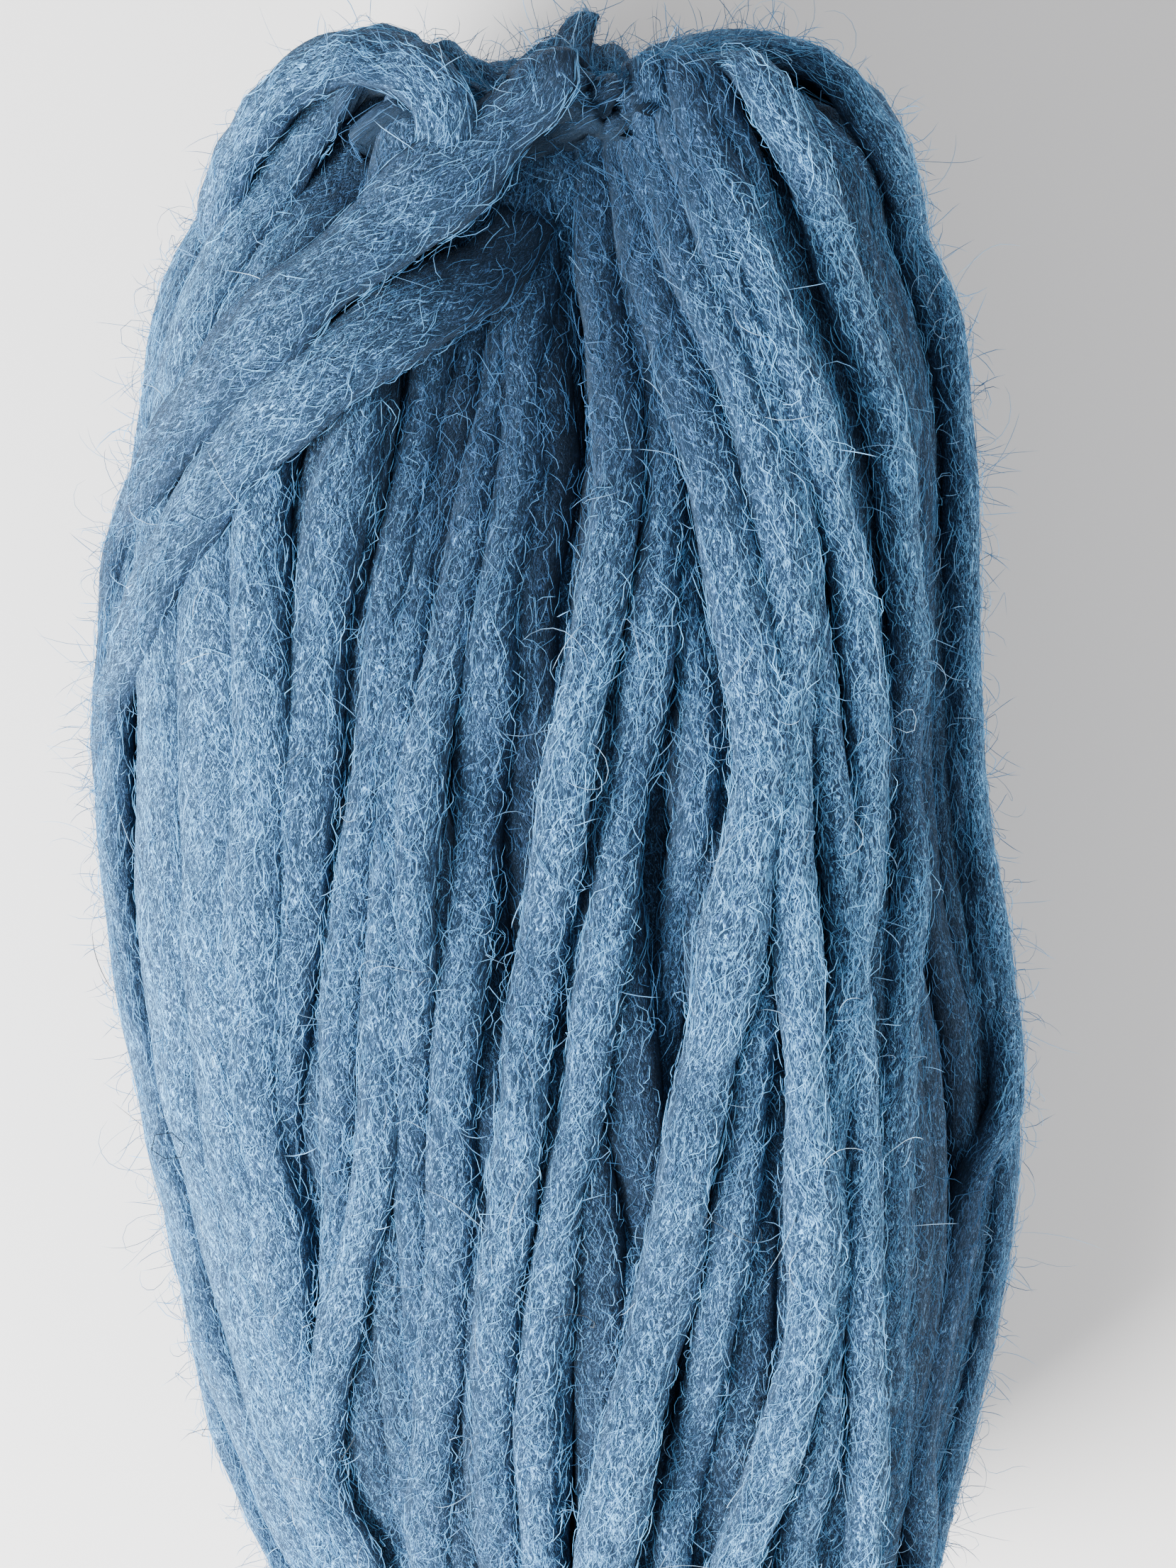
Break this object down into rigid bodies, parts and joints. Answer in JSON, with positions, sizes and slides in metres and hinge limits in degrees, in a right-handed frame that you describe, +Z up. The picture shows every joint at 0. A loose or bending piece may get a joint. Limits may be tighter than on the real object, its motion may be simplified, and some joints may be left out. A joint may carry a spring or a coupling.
{
  "type": "wool roving skein",
  "caption": "Oblong centre-pull skein of thick, soft, unspun blue wool roving, wound lengthwise, with a dimple at each end and a slanting band of turns across its upper face",
  "frame": {"origin": "on the resting plane, under the middle of the skein's box", "axes": "+Y runs along the skein from its foot to its head, +X across it, +Z up from the side it lies on to its upper face"},
  "size_m": [0.118, 0.2396, 0.0918],
  "materials": {
    "wool": "soft, fuzzy, matt carded wool"
  },
  "bodies": {
    "root": {"skein": "wool"}
  },
  "joints": []
}
